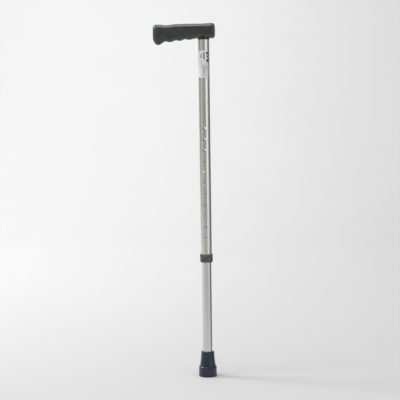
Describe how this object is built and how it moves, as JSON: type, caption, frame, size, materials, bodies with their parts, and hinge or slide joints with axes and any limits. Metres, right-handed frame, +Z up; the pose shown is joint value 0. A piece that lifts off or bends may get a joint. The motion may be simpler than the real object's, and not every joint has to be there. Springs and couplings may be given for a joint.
{
  "type": "adjustable walking stick",
  "caption": "Height-adjustable walking stick: telescopic metal shaft with a snap-button lock, a moulded hand grip with finger lobes, a locking collar and a rubber foot",
  "frame": {"origin": "centre of the ferrule's base, on the floor under the shaft axis", "axes": "+Z up along the shaft, the grip points along -X, the snap button and the fronts of the height holes face -Y"},
  "size_m": [0.1425, 0.0424, 0.8211],
  "materials": {
    "grip": "satin moulded",
    "core": "moulded",
    "steel": "bright",
    "tube": "satin anodised",
    "inner_tube": "satin anodised",
    "label": "coated",
    "nylon": "moulded",
    "collar": "moulded",
    "button": "polished",
    "ferrule": "moulded"
  },
  "bodies": {
    "upper": {"handle_grip": "grip", "handle_core": "core", "core_pin": "steel", "upper_tube": "tube", "shaft_label": "label", "collar_collet": "nylon"},
    "collar": {"locking_collar": "collar"},
    "lower": {"lower_tube": "inner_tube", "tube_bush": "nylon", "button_spring": "steel", "ferrule": "ferrule", "ferrule_washer": "steel"},
    "button": {"snap_button": "button"}
  },
  "joints": [
    {"name": "height_slide", "type": "slide", "parent": "lower", "child": "upper", "axis": [0, 0, 1], "range_m": [-0.1016, 0.1524], "deforming": ["snap_button"]},
    {"name": "button_press", "type": "slide", "parent": "lower", "child": "button", "axis": [0, 1, 0], "range_m": [0, 0.0048], "stiffness_N_per_m": 1500, "springref_m": -0.003, "deforming": ["button_spring"]},
    {"name": "collar_turn", "type": "hinge", "parent": "upper", "child": "collar", "pos_m": [0, 0, 0.2797], "axis": [0, 0, 1], "range_deg": [0, 270]}
  ]
}
